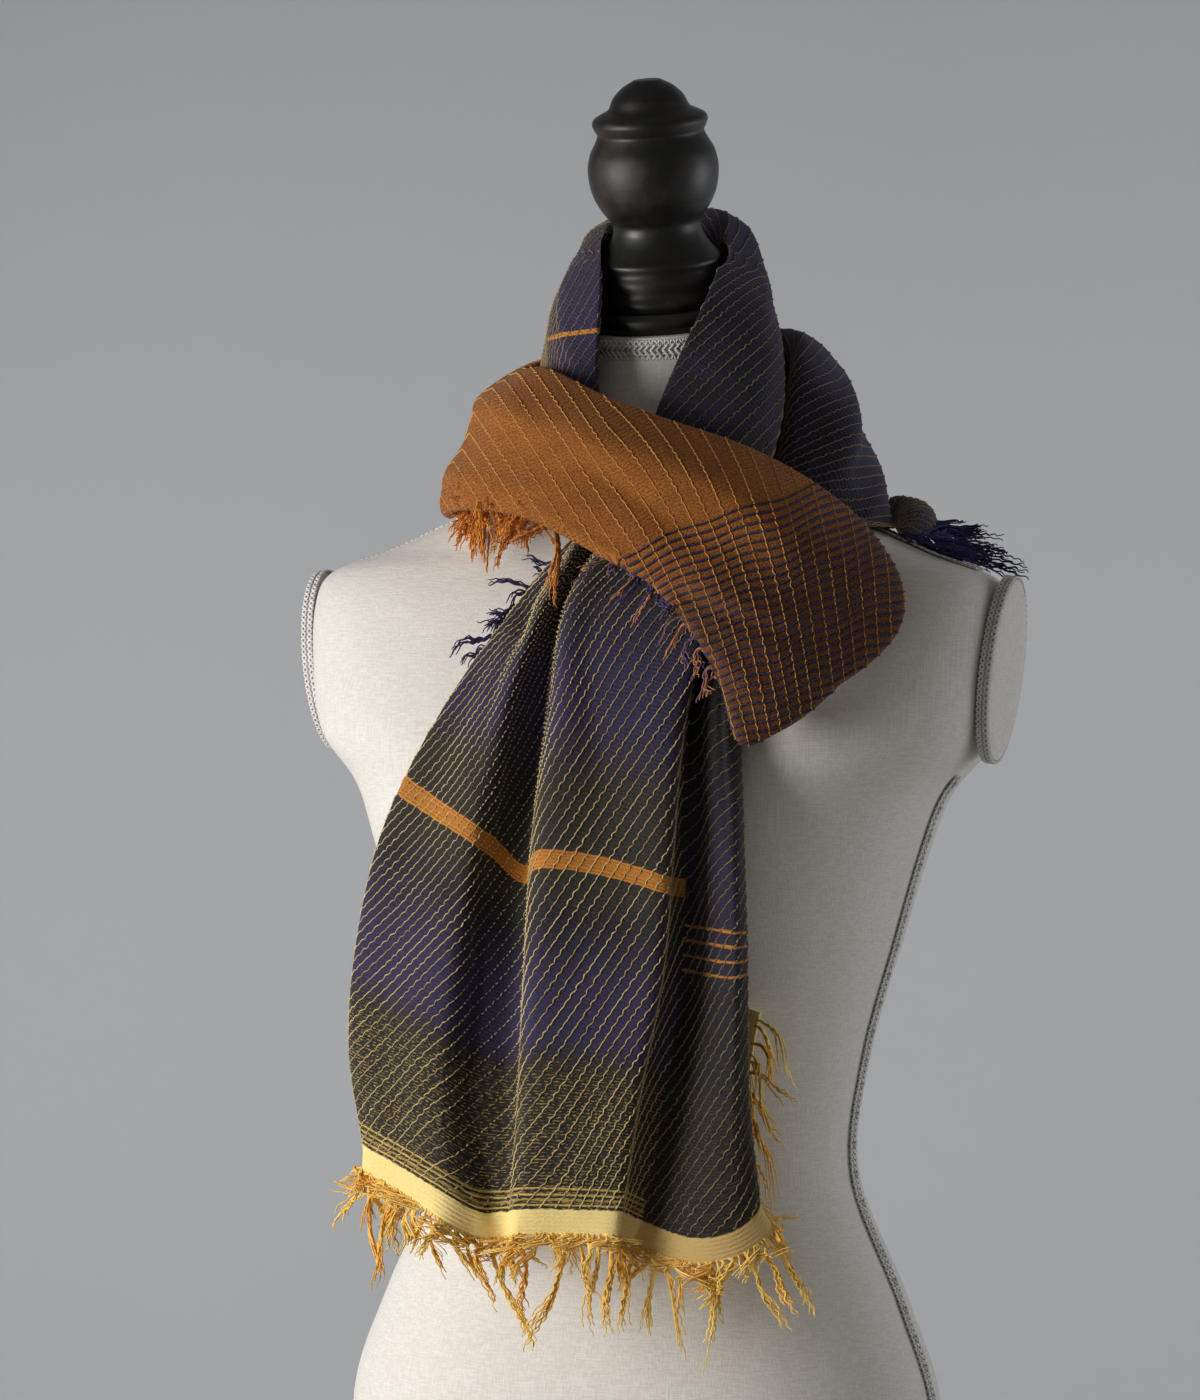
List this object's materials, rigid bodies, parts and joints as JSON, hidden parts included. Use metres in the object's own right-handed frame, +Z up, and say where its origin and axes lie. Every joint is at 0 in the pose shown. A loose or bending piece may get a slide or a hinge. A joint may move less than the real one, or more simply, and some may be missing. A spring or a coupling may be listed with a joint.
{
  "type": "wool and cotton shawl on a table-top dress form",
  "caption": "Striped wool and cotton shawl with fringed ends, wound round the neck of a limbless canvas dress form on a round wooden base.",
  "frame": {"origin": "centre of the base's underside, on the surface the form stands on", "axes": "+Z up; the form's front faces -Y, its own left shoulder towards +X"},
  "size_m": [0.4156, 0.3067, 0.9053],
  "materials": {
    "canvas": "off-white plain linen weave",
    "gimp": "white woven braid",
    "black_wood": "turned wood, worn black satin paint",
    "shawl_navy": "open wool and cotton weave, navy to olive with pale wavy warp yarns",
    "shawl_amber": "open wool and cotton weave, amber to brown with pale wavy warp yarns",
    "fringe_gold": "pale yellow woven hem and loose golden yarns",
    "fringe_navy": "loose navy and brown yarns"
  },
  "bodies": {
    "root": {"torso": "canvas", "neck_braid": "gimp", "neck_cap": "black_wood", "finial": "black_wood", "column": "black_wood", "base": "black_wood", "arm_plate_left": "canvas", "arm_plate_right": "canvas", "arm_braid_left": "gimp", "arm_braid_right": "gimp", "side_braid_left": "gimp", "side_braid_right": "gimp", "shoulder_braid_left": "gimp", "shoulder_braid_right": "gimp", "collar_wrap": "shawl_navy", "shoulder_wrap": "shawl_navy", "tucked_fold": "shawl_navy", "front_wrap": "shawl_amber", "tail_front": "shawl_navy", "tail_back": "shawl_navy", "tail_hem": "fringe_gold", "tail_back_hem": "fringe_gold", "amber_fringe": "fringe_gold", "mixed_fringe": "fringe_navy", "side_fringe": "fringe_navy", "shoulder_fringe": "fringe_navy"}
  },
  "joints": []
}
